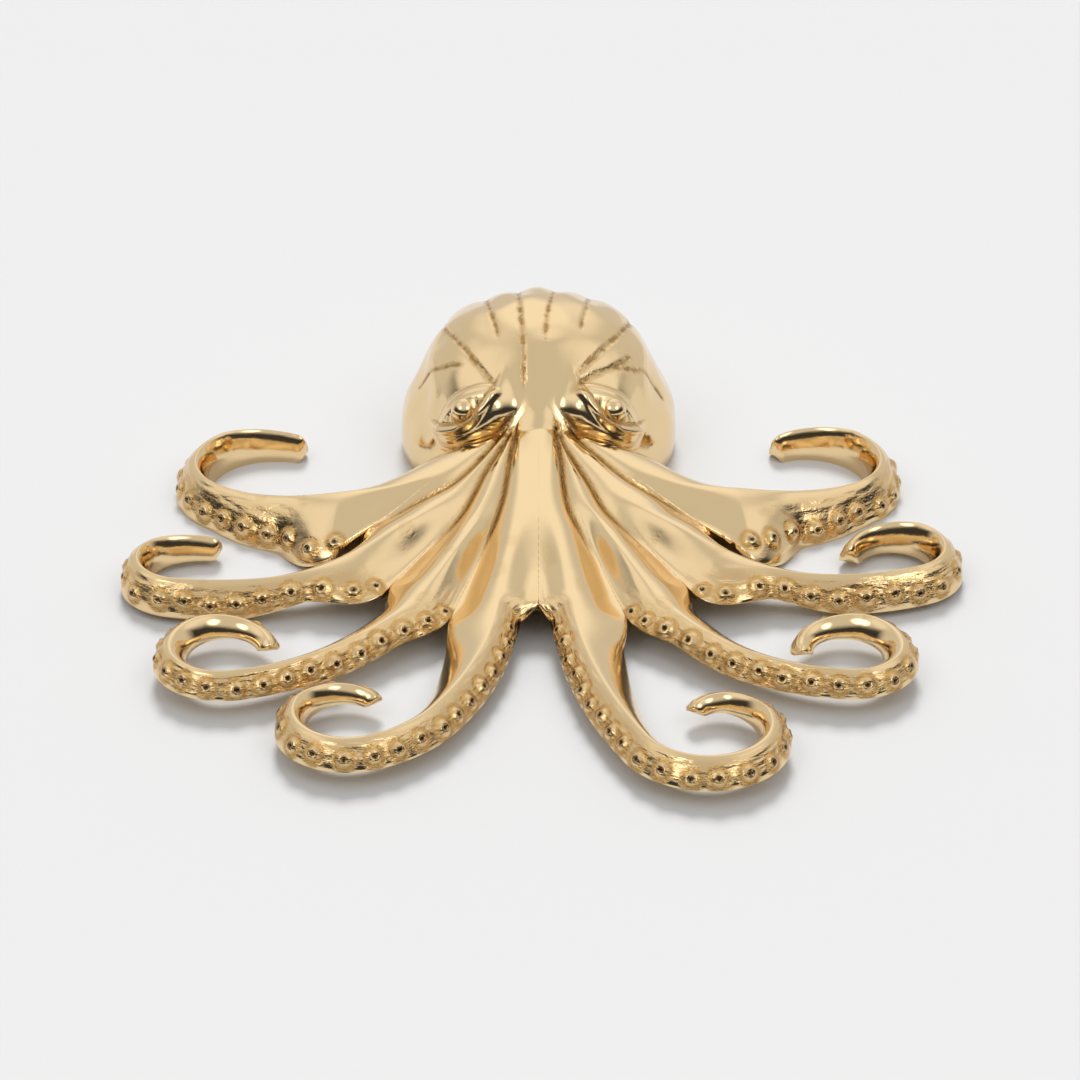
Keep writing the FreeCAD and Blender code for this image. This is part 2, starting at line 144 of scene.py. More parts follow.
# Heading at the neck in degrees from straight ahead to the arm's own side, then the shares of
# the arm's length that each stretch takes, with the turn outwards over that stretch.
ROUTE_SHARES = {
    "arm_left_1": (57.1, (0.188, 0.0), (0.218, 42.6), (0.216, 27.3), (0.307, 139.3), (0.071, 23.9)),
    "arm_left_2": (40.3, (0.299, 0.0), (0.242, 36.8), (0.180, 22.5), (0.204, 150.7), (0.075, 31.4)),
    "arm_left_3": (21.9, (0.262, 0.0), (0.283, 29.2), (0.132, 25.7), (0.213, 169.8), (0.110, 105.0)),
    "arm_left_4": (8.0, (0.383, 0.0), (0.234, 21.6), (0.103, 36.9), (0.215, 178.5), (0.065, 75.0)),
    "arm_right_1": (59.9, (0.215, 0.0), (0.166, 39.9), (0.229, 21.6), (0.340, 155.4), (0.050, 32.9)),
    "arm_right_2": (39.7, (0.254, 0.0), (0.266, 41.5), (0.186, 31.6), (0.215, 169.2), (0.079, 65.8)),
    "arm_right_3": (21.7, (0.240, 0.0), (0.259, 21.0), (0.182, 41.1), (0.239, 199.0), (0.080, 85.0)),
    "arm_right_4": (6.8, (0.357, 0.0), (0.295, 19.0), (0.045, 31.3), (0.248, 185.2), (0.055, 90.0)),
}

# Seams between the arms, in degrees from straight ahead.
SEAMS = {"middle": 0.0, "front": 17.0, "side": 33.0, "rear": 54.0}

# Share of an arm's breadth on the outer side of its bend, at the web and in the curl.
OUTER_SHARES = {"1": (0.46, 0.60), "2": (0.45, 0.59), "3": (0.45, 0.49), "4": (0.34, 0.60)}

# Share of the web's edge run in which an arm draws in past each seam.
EDGE_RUN_SHARES = {"middle": 0.4, "front": 1.2, "side": 1.2, "rear": 1.6}

# How far each pair of arms humps up where it leaves the web, and where that hump lies, in
# millimetres from the neck.
HUMP_RISES = {"1": 2.0, "2": 3.0, "3": 2.2, "4": 0.6}
HUMP_PLACE = 72.0
HUMP_REACH = 36.0

# Where each pair's row of suckers starts, in millimetres from the neck, and how far round from
# the outer foot it lies, in degrees.
SUCKER_STARTS = {"1": 74.0, "2": 88.0, "3": 94.0, "4": 101.0}
SUCKER_ANGLES = {"1": 30.0, "2": 33.0, "3": 36.0, "4": 34.0}


def size(name):
    """One of the sizes, in millimetres."""
    return getattr(bpy.context.scene.octopus_sizes, name) / MM


def colour(name):
    """One of the colours, as linear light."""
    return tuple(getattr(bpy.context.scene.octopus_colours, name))


def neck_place():
    """The neck in the shared frame, in millimetres, found from the mantle's box."""
    low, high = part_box("mantle")
    return (low[0] + high[0]) / 2 / MM, high[1] / MM - size("head_radius") - size("neck_setback")


def ease(position):
    """From 0 to 1 without a corner at either end."""
    return (1 - np.cos(np.pi * np.clip(position, 0.0, 1.0))) / 2


def between(start, end, position):
    """From start to end without a corner, while the position goes from 0 to 1."""
    return start + (end - start) * ease(position)


def bell(distance, reach):
    """1 at distance 0 and almost nothing beyond the reach."""
    return np.exp(-(distance / reach) ** 2 * 2)


def waves(points, seed, scale, count=24):
    """Smooth uneven field between about -1 and 1, with waves of about that length."""
    chance = np.random.default_rng(seed)
    total = np.zeros(len(points))
    for turn in range(count):
        direction = chance.normal(size=3)
        direction *= 2 * np.pi / scale * chance.uniform(0.6, 1.6) / np.linalg.norm(direction)
        total += np.sin(points @ direction + chance.uniform(0, 2 * np.pi))
    return total * (2 / count) ** 0.5


def grid_mesh(name, rows):
    """Closed skin over rows of points, each row a ring, with a flat end on the first and last."""
    count, ring = rows.shape[:2]
    points = rows.reshape(-1, 3) * MM
    index = np.arange(count * ring).reshape(count, ring)
    ahead = np.roll(index, -1, axis=1)
    quads = np.stack([index[:-1], ahead[:-1], ahead[1:], index[1:]], axis=-1).reshape(-1, 4)
    mesh = bpy.data.meshes.new(name)
    corner, right, _, left = (points[quads[:, k]] for k in range(4))
    if np.einsum("ij,ij->", corner, np.cross(right, left)) < 0:
        quads = quads[:, ::-1]
        index = index[::-1]
    mesh.from_pydata(points.tolist(), [], quads.tolist() + [index[0][::-1].tolist(), index[-1].tolist()])
    mesh.update()
    obj = bpy.data.objects.new(name, mesh)
    bpy.context.collection.objects.link(obj)
    return obj


def pick(obj):
    """Makes obj the only selected and the active object."""
    bpy.ops.object.select_all(action="DESELECT")
    obj.select_set(True)
    bpy.context.view_layer.objects.active = obj


def read_points(obj):
    """The vertices in millimetres."""
    flat = np.empty(len(obj.data.vertices) * 3)
    obj.data.vertices.foreach_get("co", flat)
    return flat.reshape(-1, 3) / MM


def write_points(obj, points):
    """Moves the vertices to points given in millimetres."""
    obj.data.vertices.foreach_set("co", (points * MM).ravel())
    obj.data.update()


def write_mask(obj, name, values):
    """A value for each vertex that the brass reads."""
    layer = obj.data.attributes.new(name, "FLOAT", "POINT")
    layer.data.foreach_set("value", np.clip(values, 0, 1).astype(np.float32))


def write_flow(obj, vectors):
    """Where each vertex lies in the grain, in millimetres, which the brass reads."""
    layer = obj.data.attributes.new("flow", "FLOAT_VECTOR", "POINT")
    layer.data.foreach_set("vector", np.ascontiguousarray(vectors, dtype=np.float32).ravel())


def finish_piece(obj, nodes, material):
    """Smooth shading, brass, and its place in the frame."""
    pick(obj)
    bpy.ops.object.shade_smooth_by_angle(angle=math.radians(SHARP_EDGE))
    obj.data.materials.append(material)
    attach(obj, "root")
    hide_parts(*nodes)


# Mantle

# Creases on the mantle, as points right and back of the neck and above the floor, in
# millimetres, with the crease's depth and breadth.
CREASES = (
    (((-12, 8, 38), (-20, 18, 43), (-27, 32, 45), (-35, 58, 40), (-34, 74, 30)), 0.9, 1.3),
    (((-13, 24, 49), (-16, 40, 52), (-19, 63, 47), (-21, 80, 34)), 0.5, 1.1),
    (((-5, 6, 37), (-5, 17, 47), (-6, 32, 54), (-7, 53, 54), (-8, 70, 48), (-9, 86, 30)), 0.8, 1.2),
    (((2, 20, 49), (3, 35, 54), (5, 53, 54), (7, 70, 48), (9, 86, 30)), 0.5, 1.1),
    (((14, 28, 51), (16, 42, 53), (18, 63, 47), (21, 80, 34)), 0.4, 1.0),
    (((11, 11, 42), (20, 22, 46), (28, 38, 46), (33, 59, 40), (34, 74, 30)), 1.1, 1.4),
    (((9, 6, 37), (16, 13, 41), (24, 20, 41), (31, 28, 41)), 0.9, 1.4),
    (((-24, 20, 43), (-33, 26, 39), (-38, 31, 35), (-43, 34, 27)), 0.5, 1.2),
    (((24, 19, 43), (32, 24, 39), (37, 30, 35), (45, 34, 22)), 0.5, 1.2),
)

# Soft edges where the crown turns into the sides.
SHOULDERS = (
    ((-36, 48, 39), (-37, 29, 35), (-36, 22, 31), (-39, 15, 17)),
    ((35, 46, 40), (37, 29, 35), (38, 21, 23)),
)

# The round is a little flatter at the sides and fuller at the shoulders, in millimetres.
SIDE_FLATTENING = 1.8
SHOULDER_FULLNESS = 0.9
SHOULDER_RISE = 0.5
SHOULDER_REACH = 5.0

# Hand finishing leaves the round a little uneven, in millimetres: how much and how widely.
UNEVEN_RISE = 0.12
UNEVEN_SPACING = 16.0

# How the mantle bends beside a crease, in millimetres: the groove as a share of the crease's own
# depth, the wide dip between two flutes, and the scallops that deepen it over the back, from so
# far behind the neck.
GROOVE_SHARE = 0.55
FLUTE_DIP = 0.28
FLUTE_REACH = 7.0
SCALLOP_DIP = 0.75
SCALLOP_REACH = 4.5
SCALLOP_START = 48.0
SCALLOP_RUN = 18.0

# Bridge between the eyes, in millimetres: its rise, its reach, its height above the floor, how
# much wider than high it is, and how far back of the neck it goes.
BROW_RISE = 1.6
BROW_REACH = 13.0
BROW_HEIGHT = 28.0
BROW_WIDENING = 1.25
BROW_BACK = 20.0

# The right eye, in millimetres right and back of the neck and above the floor: its middle and the
# way from there to its outer corner. The left eye is its mirror.
EYE_MIDDLE = (24.6, 8.8, 31.0)
EYE_SLANT = (19.0, 5.0, -17.0)

# Both lids are arcs between the corners of the eye: half the eye's length, how far each arc bows
# from it, and the breadth of each lid's fold, in millimetres.
EYE_HALF_LENGTH = 15.5
LOWER_LID_BOW = 7.4
UPPER_LID_BOW = 5.2
LOWER_LID_BREADTH = 4.6
UPPER_LID_BREADTH = 2.6

# From the middle of the eye, in millimetres: where a lid starts to fade, and the run in which it
# does.
LID_FADE_START = 9.5
LID_FADE_RUN = 9.0

# Where the eyeball sits, in millimetres out of the dome, towards the brow and down.
EYEBALL_OUT = 1.9
EYEBALL_IN = 0.5
EYEBALL_DOWN = 0.3

# The flesh of the eye and the crescent below the ball, in millimetres.
EYE_FLESH_RISE = 2.3
EYE_SWELL_RISE = 1.5
EYE_SWELL_REACH = 17.0
CRESCENT_RADIUS = 5.4
CRESCENT_RISE = 0.5


def curve_through(points, count=40):
    """Points along a smooth curve through the given ones."""
    given = np.array(points, dtype=float)
    ends = np.vstack([2 * given[0] - given[1], given, 2 * given[-1] - given[-2]])
    pieces = []
    share = np.linspace(0, 1, count, endpoint=False)[:, None]
    for index in range(len(given) - 1):
        a, b, c, d = ends[index:index + 4]
        pieces.append(0.5 * (2 * b + (c - a) * share + (2 * a - 5 * b + 4 * c - d) * share ** 2
                             + (3 * b - a - 3 * c + d) * share ** 3))
    pieces.append(given[-1:])
    return np.vstack(pieces)


def nearest(points, line):
    """For each point, the distance to the line of points and the share of the way along it."""
    best = np.full(len(points), FAR_AWAY)
    share = np.zeros(len(points))
    for index, spot in enumerate(line):
        away = np.linalg.norm(points - spot, axis=1)
        closer = away < best
        best[closer] = away[closer]
        share[closer] = index / (len(line) - 1)
    return best, share


def head_centre():
    """Middle of the mantle's round, from the neck, in millimetres."""
    return np.array([0, size("neck_setback"), size("head_centre_height")])


def on_dome(points):
    """The points pushed out or in to the mantle's round, which is a little boxy at its shoulders."""
    ray = points - head_centre()
    ray /= np.linalg.norm(ray, axis=1)[:, None]
    flat_side = bell(np.abs(ray[:, 0]) - 0.86, 0.3) * bell(ray[:, 2] - 0.42, 0.35)
    corner = bell(np.abs(ray[:, 0]) - 0.62, 0.3) * bell(ray[:, 2] - 0.7, 0.4)
    radius = size("head_radius") - SIDE_FLATTENING * flat_side + SHOULDER_FULLNESS * corner
    return head_centre() + ray * radius[:, None], ray


def shape_mantle(obj, neck):
    """Moves the vertices of a sphere to the dome with its creases and eyes."""
    points = read_points(obj) + head_centre()
    local, outward = on_dome(points)
    low = points[:, 2] < 0.01
    local[low] = points[low]
    rough = np.zeros(len(points))
    pit = np.zeros(len(points))
    rise = np.zeros(len(points))
    for line, depth, breadth in CREASES:
        curve = on_dome(curve_through(line))[0]
        away, share = nearest(local, curve)
        fade = ease(share / 0.15) * ease((1 - share) / 0.1 + 0.4)
        rise -= GROOVE_SHARE * depth * bell(away, breadth) * fade + FLUTE_DIP * bell(away, FLUTE_REACH) * fade
        over_back = ease((local[:, 1] - SCALLOP_START) / SCALLOP_RUN)
        rise -= SCALLOP_DIP * bell(away, SCALLOP_REACH) * fade * over_back
        broken = 0.5 + 0.5 * ease(waves(local, 11, 4.6) / 1.6 + 0.45)
        rough = np.maximum(rough, bell(away, breadth * 1.5) * fade * broken)
        # Painted shade along the bottom of the crease.
        pit = np.maximum(pit, 0.45 * bell(away, breadth * 0.5) * fade * broken)
    for line in SHOULDERS:
        curve = on_dome(curve_through(line))[0]
        away, share = nearest(local, curve)
        ends = ease(share / 0.2) * ease((1 - share) / 0.2)
        rise += SHOULDER_RISE * bell(away, SHOULDER_REACH) * ends
    for side in (-1, 1):
        eye_rise, eye_rough = eye_relief(local, side)
        rise += eye_rise
        rough = np.maximum(rough, eye_rough)
    # The bridge between the eyes, which runs down to the web.
    from_brow = np.hypot(local[:, 0] / BROW_WIDENING, local[:, 2] - BROW_HEIGHT)
    rise += BROW_RISE * bell(from_brow, BROW_REACH) * (local[:, 1] < BROW_BACK)
    rise += UNEVEN_RISE * waves(local, 5, UNEVEN_SPACING)
    local += outward * (rise * ease(local[:, 2] / 4))[:, None]
    local[:, 0] += neck[0]
    local[:, 1] += neck[1]
    write_points(obj, local)
    write_mask(obj, "rough", rough)
    write_mask(obj, "pit", pit)
    write_flow(obj, local)


def eye_frame(side):
    """Middle of an eye on the dome, and its directions: towards the outer corner, up and out."""
    mirror = np.array([side, 1, 1])
    middle, out = on_dome((mirror * EYE_MIDDLE)[None, :])
    out = out[0]
    along = mirror * EYE_SLANT
    along -= out * (along @ out)
    along /= np.linalg.norm(along)
    up = np.cross(out, along)
    up = up if up[2] > 0 else -up
    return middle[0], along, up, out


def eye_relief(local, side):
    """Rise of the lids round one eye, and where their creases are rough."""
    middle, along, up, out = eye_frame(side)
    flat = local - middle
    a = flat @ along + 1.0
    b = flat @ up + 0.6
    near = (flat @ out > -14) & (np.abs(a) < 26) & (np.abs(b) < 22)
    arc = 1 - (a / EYE_HALF_LENGTH) ** 2
    lower_line = -LOWER_LID_BOW * arc
    upper_line = UPPER_LID_BOW * arc
    # Across each fold, where the arc runs steeply the distance to it is shorter.
    lower_away = (b - lower_line) / np.sqrt(1 + (a / 16.0) ** 2)
    upper_away = (b - upper_line) / np.sqrt(1 + (a / 23.0) ** 2)
    ends = ease((LID_FADE_START + LID_FADE_RUN - np.abs(a)) / LID_FADE_RUN)
    lower_wide = LOWER_LID_BREADTH - 0.05 * a
    lower = np.clip(1 - (lower_away / lower_wide) ** 2, 0, 1) ** 0.8 * ends
    upper = np.clip(1 - (upper_away / UPPER_LID_BREADTH) ** 2, 0, 1) ** 0.9 * ends
    inside = ease((b - lower_line) / 3) * ease((upper_line - b) / 3)
    rise = np.maximum(size("lower_lid_rise") * lower, size("upper_lid_rise") * upper)
    rise += EYE_FLESH_RISE * inside
    rise += EYE_SWELL_RISE * bell(np.hypot(a, b * 1.3), EYE_SWELL_REACH)
    crescent = bell(np.hypot(a + 1.2, b - 0.3) - CRESCENT_RADIUS, 1.2) * ease((2.5 - b) / 3) * inside
    rise += CRESCENT_RISE * crescent
    # Grainy lines along both sides of the lower lid and above the upper one.
    rim = bell(lower_away + lower_wide, 1.4) + bell(lower_away - lower_wide, 0.9)
    rim += 0.5 * bell(upper_away - 2.4, 0.8)
    rough = np.maximum(rim * ends, crescent)
    rise -= 0.5 * bell(lower_away + lower_wide + 0.4, 1.0) * ends
    return rise * near, rough * near


def keep_above(height):
    """Cuts away what the selected object has below a height in metres."""
    bpy.ops.object.mode_set(mode="EDIT")
    bpy.ops.mesh.select_all(action="SELECT")
    bpy.ops.mesh.bisect(plane_co=(0, 0, height), plane_no=(0, 0, 1), clear_inner=True, use_fill=False)
    bpy.ops.object.mode_set(mode="OBJECT")


def join_to(mantle):
    """Joins the object made last to the mantle."""
    mantle.select_set(True)
    bpy.context.view_layer.objects.active = mantle
    bpy.ops.object.join()


class OCTOPUS_OT_mantle(bpy.types.Operator):
    """Adds the hollow fluted mantle with both eyes"""

    bl_idname = "octopus.mantle"
    bl_label = "Add mantle"

    def execute(self, context):
        neck = neck_place()
        # A sphere with its poles at the brow and below the back, so that its edges run along the
        # flutes.
        bpy.ops.mesh.primitive_uv_sphere_add(segments=520, ring_count=290, radius=size("head_radius") * MM)
        mantle = context.object
        mantle.name = "mantle_casting"
        bpy.ops.transform.rotate(value=math.radians(55), orient_axis="X", center_override=(0, 0, 0))
        bpy.ops.object.transform_apply(location=True, rotation=True, scale=True)
        keep_above(-size("head_centre_height") * MM)
        shape_mantle(mantle, neck)
        # The inside, a coarser dome a wall smaller, joined on at the rim.
        bpy.ops.mesh.primitive_uv_sphere_add(
            segments=96, ring_count=48, radius=(size("head_radius") - size("head_wall")) * MM,
            location=(neck[0] * MM, (neck[1] + size("neck_setback")) * MM, size("head_centre_height") * MM),
        )
        bpy.ops.object.transform_apply(location=True, rotation=True, scale=True)
        keep_above(0)
        join_to(mantle)
        bpy.ops.object.mode_set(mode="EDIT")
        bpy.ops.mesh.select_all(action="DESELECT")
        bpy.ops.mesh.select_non_manifold(extend=False)
        bpy.ops.mesh.bridge_edge_loops()
        bpy.ops.mesh.select_all(action="SELECT")
        bpy.ops.mesh.normals_make_consistent(inside=False)
        bpy.ops.object.mode_set(mode="OBJECT")
        for side in (-1, 1):
            middle, along, up, out = eye_frame(side)
            place = middle + out * EYEBALL_OUT - along * EYEBALL_IN - up * EYEBALL_DOWN
            spot = [(place[0] + neck[0]) * MM, (place[1] + neck[1]) * MM, place[2] * MM]
            bpy.ops.mesh.primitive_uv_sphere_add(
                segments=64, ring_count=32, radius=size("eyeball_radius") * MM, location=spot,
            )
            bpy.ops.object.transform_apply(location=True, rotation=True, scale=True)
            join_to(mantle)
        finish_piece(mantle, ["mantle"], brass())
        return {"FINISHED"}


# Arms

# Creases in the web, as points right and back of the neck in the floor plan, in millimetres.
WEB_CREASES = (
    ((-7.6, 1), (-8.4, -5), (-9.4, -14), (-12.1, -38), (-16.7, -55), (-23.4, -76.5)),
    ((6.0, 1), (6.4, -5), (7.5, -17), (9.4, -39), (14.6, -54), (23.4, -76.5)),
    ((-8.8, 4), (-10.6, -4), (-17.4, -21), (-24.3, -40), (-33.6, -54), (-42.7, -66), (-51.2, -79)),
    ((6.9, 4), (8.0, -7), (16.6, -28), (22.7, -42), (34.3, -56), (48.8, -75)),
    ((-10.4, 7), (-13.2, -2), (-21.2, -17), (-29.6, -27), (-39.9, -33), (-52.5, -39.5), (-64.7, -47)),
    ((8.6, 7), (15.1, -6), (28.6, -23), (41.9, -32), (53.5, -39.5), (64.7, -47)),
)

# The web between the creases, in millimetres: the bridge that meets the brow, the round cord down
# the middle and the shallow furrow beside it, each with its reach to both sides.
BRIDGE_RISE = 2.0
BRIDGE_REACH = 9.5
MIDDLE_CORD_RISE = 1.6
MIDDLE_CORD_REACH = 4.8
FURROW_DEPTH = 0.45
FURROW_REACH = 4.0

# Ridge down the middle of the web in front, in millimetres: its rise, its reach to both sides, and
# where it starts and ends in front of the neck.
FRONT_RIDGE_RISE = 2.2
FRONT_RIDGE_REACH = 6.5
FRONT_RIDGE_START = 42.0
FRONT_RIDGE_END = 97.0

# How near the neck the creases shape the web by themselves, and the run in which the arms take
# over, in millimetres.
CREASED_REACH = 76.0
CREASED_RUN = 34.0

# Crest of a free arm: 0 is a round arch, and what is added makes it narrower, less so in the curl.
CREST_SHARPNESS = 0.46
CURL_SOFTENING = 0.2

# How far the two castings beside a seam reach past it, in millimetres.
SEAM_OVERLAP = 0.02

# Stretch of an arm that is rounded at its tip, in millimetres.
BLUNT_TIP = 3.0

# Suckers, in millimetres: the stretch at the tip that has none, the run in which the first ones
# grow, and the depth of their pits. Then, as shares of a sucker's radius, how far it stands out,
# how wide its dome is, and the way to the next one.
SUCKER_FREE_TIP = 12.0
SUCKER_START_RUN = 8.0
SUCKER_PIT_DEPTH = 1.1
SUCKER_RISE_SHARE = 0.5
SUCKER_DOME_SHARE = 0.78
SUCKER_PITCH_SHARE = 2.55

# Wrinkles of the free arms and patches of sand grain, in millimetres.
WRINKLE_RISE = 0.09
PATCH_SPACING = 13.0

# Grain of an arm's skin, in millimetres: how much it is drawn out along the arm, and how much of
# it goes once round.
GRAIN_STRETCH = 3.5
GRAIN_AROUND = 28.0

# How near the forehead an arm flows into it, in millimetres: beside the brow and more at its
# middle, in so far to both sides.
BROW_BLEND = 0.8
MIDDLE_BLEND = 9.0
MIDDLE_BLEND_REACH = 11.0
BLEND_LIMIT = 40.0


def line_distance(x, y, line):
    """Distance in the floor plan from points to a smooth curve through the given ones."""
    flat = curve_through([(a, b, 0) for a, b in line], 6)[:, :2]
    best = np.full(np.shape(x), FAR_AWAY)
    for (ax, ay), (bx, by) in zip(flat[:-1], flat[1:]):
        dx, dy = bx - ax, by - ay
        along = np.clip(((x - ax) * dx + (y - ay) * dy) / (dx * dx + dy * dy), 0, 1)
        best = np.minimum(best, np.hypot(x - ax - along * dx, y - ay - along * dy))
    return best


def web_creases(x, y):
    """Distance to the nearest crease of the web."""
    return np.minimum.reduce([line_distance(x, y, line) for line in WEB_CREASES])


def web_height(x, y):
    """Height of the web near the neck: round cords side by side, with creases between them."""
    out = np.hypot(x, y)
    height = between(size("neck_height"), size("arm_height"), out / size("ridge_slope_length"))
    away = web_creases(x, y)
    reach = np.clip(0.8 + 0.15 * out, 1.8, 11)
    depth = np.clip(0.9 + 0.065 * out, 0, 5)
    bridge = BRIDGE_RISE * np.exp(-(x / BRIDGE_REACH) ** 2 - ((y + 2) / 11) ** 2)
    bridge = bridge + MIDDLE_CORD_RISE * np.exp(-(x / MIDDLE_CORD_REACH) ** 2) * ease((46 + y) / 40)
    furrow = FURROW_DEPTH * bell(x + 1.0, FURROW_REACH) * ease((48 + y) / 12)
    return height - depth * np.clip(1 - away / reach, 0, 1) ** 2 + bridge - furrow


class Arm:
    """The route and the changing section of one arm, for many stations at once."""

    def __init__(self, name):
        self.name = name
        values = ARMS[name]
        self.side, self.underside, self.web_breadth, self.curl_breadth, self.length = values[:5]
        self.front_seam, self.rear_seam = values[5:]
        self.outer_web_share, self.outer_curl_share = OUTER_SHARES[name[-1]]
        self.make_route()
        self.curl_start = self.length - size("curl_length")

    def make_route(self):
        """Table of the ridge in the floor plan."""
        heading, *stretches = ROUTE_SHARES[self.name]
        self.steps = np.linspace(0, self.length, 1200)
        ends = np.cumsum([0.0] + [share for share, turn in stretches])
        turns = np.cumsum([0.0] + [turn for share, turn in stretches])
        self.headings = heading + np.interp(self.steps / self.length, ends, turns)
        middle = np.radians((self.headings[1:] + self.headings[:-1]) / 2)
        run = np.diff(self.steps)
        self.xs = np.concatenate([[0], np.cumsum(run * np.sin(middle))])
        self.ys = np.concatenate([[0], np.cumsum(-run * np.cos(middle))])

    def place(self, distance):
        """Point of the ridge in the floor plan and its heading in radians."""
        x = np.interp(distance, self.steps, self.xs)
        y = np.interp(distance, self.steps, self.ys)
        return x, y, np.radians(np.interp(distance, self.steps, self.headings))

    def ridge(self, distance):
        """Height of the ridge above the floor."""
        slope = between(size("neck_height"), size("arm_height"), distance / size("ridge_slope_length"))
        slope = slope + HUMP_RISES[self.name[-1]] * bell(distance - HUMP_PLACE, HUMP_REACH)
        to_tip = np.clip((self.length - distance) / size("tip_length"), 0, 1)
        return slope - size("tip_drop") * (1 - to_tip)

    def foot(self, distance):
        """Height of the underside above the floor."""
        if self.rear_seam is None:
            return np.full_like(distance, self.underside)
        sunk = (distance - size("web_reach_" + self.front_seam)) / size("touch_down_run")
        return between(size("web_underside"), self.underside, sunk)

    def free_halves(self, distance):
        """Half widths of the free arm: outer side of the bend, then inner side."""
        position = (distance - size("web_reach_side")) / (self.curl_start - size("web_reach_side"))
        breadth = between(self.web_breadth, self.curl_breadth, position)
        to_tip = (distance - self.curl_start) / size("curl_length")
        breadth = np.where(to_tip > 0, between(self.curl_breadth, size("tip_breadth"), to_tip), breadth)
        outer_share = between(self.outer_web_share, self.outer_curl_share, position)
        return breadth * outer_share, breadth * (1 - outer_share)

    def seam(self, distance, seam):
        """From the ridge, square to it, to a seam, and how far out along the seam that is."""
        x, y, heading = self.place(distance)
        angle = math.radians(SEAMS[seam])
        off = x * math.cos(angle) + y * math.sin(angle)
        square = off / np.cos(heading - angle)
        along_x = x - square * np.cos(heading)
        along_y = y - square * np.sin(heading)
        return np.abs(square), along_x * math.sin(angle) - along_y * math.cos(angle)

    def half(self, distance, seam, free_half):
        """To one side: the arch's half width, where it is trimmed, the valley's height there, how far
        it is web and how softly the web rises."""
        if seam is None:
            past = (distance - size("rear_flank_reach")) / size("rear_flank_run")
            half = between(size("rear_flank"), free_half, past)
            return half, half, np.zeros_like(half), np.zeros_like(half), np.zeros_like(half)
        run = size("web_edge_run") * EDGE_RUN_SHARES[seam]
        drawn_in = (distance - size("web_reach_" + seam)) / run + 0.5
        to_seam, out = self.seam(distance, seam)
        foot = self.foot(distance)
        rise = self.ridge(distance) - foot
        level = between(size("neck_height"), size("arm_height"), out / size("ridge_slope_length"))
        level -= between(0.3, size("valley_depth"), out / size("valley_run"))
        share = np.clip((level - foot) / rise, 0.05, 0.995)
        spread = np.sqrt(1 - share ** 2)
        wide = np.where(drawn_in < 1, between(to_seam / spread, free_half, drawn_in), free_half)
        limit = np.where(drawn_in < 1, np.minimum(to_seam + SEAM_OVERLAP, wide), free_half)
        level = np.maximum(level, foot + 0.05 * rise)
        soft = ease((out - 12) / 40)
        return wide, limit, level, 1 - ease(drawn_in + 0.1), soft

    def rows(self, distance, angle, wall=0.0):
        """Points of arches: one row for each station, one column for each angle from the outer foot."""
        free_outer, free_inner = self.free_halves(distance)
        outer = self.half(distance, self.front_seam, free_outer)
        inner = self.half(distance, self.rear_seam, free_inner)
        on_outer = (angle < np.pi / 2)[None, :]
        sides = [np.where(on_outer, o[:, None], i[:, None]) for o, i in zip(outer, inner)]
        wide, limit, level, web, soft = sides
        wide = np.maximum(wide - wall, wide / 3)
        curl = ease((distance - self.curl_start + 15) / 40)[:, None]
        sharp = 1 + (CREST_SHARPNESS - CURL_SOFTENING * curl) * (1 - web) * (wall == 0)
        offset = wide * np.abs(np.cos(angle))[None, :] ** sharp
        trimmed = np.minimum(offset, limit)
        foot = self.foot(distance)[:, None]
        ridge = self.ridge(distance)[:, None]
        height = foot + (ridge - foot - wall) * np.sin(angle)[None, :] ** sharp
        if not wall:
            # In the web the arm rises from the valley to its ridge: creased near the neck, soft
            # further out.
            share = trimmed / limit
            creased = 1 - share ** 1.6
            rounded = (1 + np.cos(np.pi * share)) / 2
            rolling = level + (ridge - level) * (creased + (rounded - creased) * soft)
            height = np.where(offset <= limit, height + (rolling - height) * web, height)
        x, y, heading = self.place(distance)
        across = np.where(on_outer, -trimmed, trimmed)
        px = self.side * (x[:, None] + across * np.cos(heading)[:, None])
        py = y[:, None] + across * np.sin(heading)[:, None]
        if not wall:
            # Near the neck the cords lie as the creases run, whichever casting they belong to.
            close = ease((CREASED_REACH - np.hypot(px, py)) / CREASED_RUN)
            if self.rear_seam is None:
                close = close * np.where(on_outer, 1, 1 - ease(trimmed / limit / 0.6))
            height = height + (web_height(px, py) - height) * close
        return np.stack([px, py, height], axis=-1)


def arm_rows(arm):
    """Stations, angles of the outside and the bare casting of one arm as rows of points."""
    stations = np.append(np.arange(1.0, arm.length, size("grid")), arm.length)
    top = np.radians(np.linspace(0, 180, 120))
    below = np.radians(np.linspace(176, 4, 12))
    outside = arm.rows(stations, top)
    hollow = ease((stations - size("hollow_start")) / 12) * ease((size("hollow_reach") - stations) / 20)
    inside = arm.rows(stations, below, size("arm_wall"))
    flat = arm.foot(stations)[:, None]
    inside[..., 2] = flat + (inside[..., 2] - flat) * hollow[:, None]
    return stations, top, np.concatenate([outside, inside], axis=1)


def blunt_tip(arm, stations, rows):
    """Rounds the last stretch of the arm."""
    past = np.clip((stations - (arm.length - BLUNT_TIP)) / BLUNT_TIP, 0, 1)
    shrink = np.sqrt(np.clip(1 - past ** 2 * 0.8, 0, 1))[:, None, None]
    middle = rows.mean(axis=1, keepdims=True)
    return middle + (rows - middle) * shrink


def row_normals(rows):
    """Outward directions of a skin of rows."""
    along = np.gradient(rows, axis=0)
    around = np.gradient(rows, axis=1)
    normal = np.cross(along, around)
    return normal / np.maximum(np.linalg.norm(normal, axis=2, keepdims=True), 1e-9)


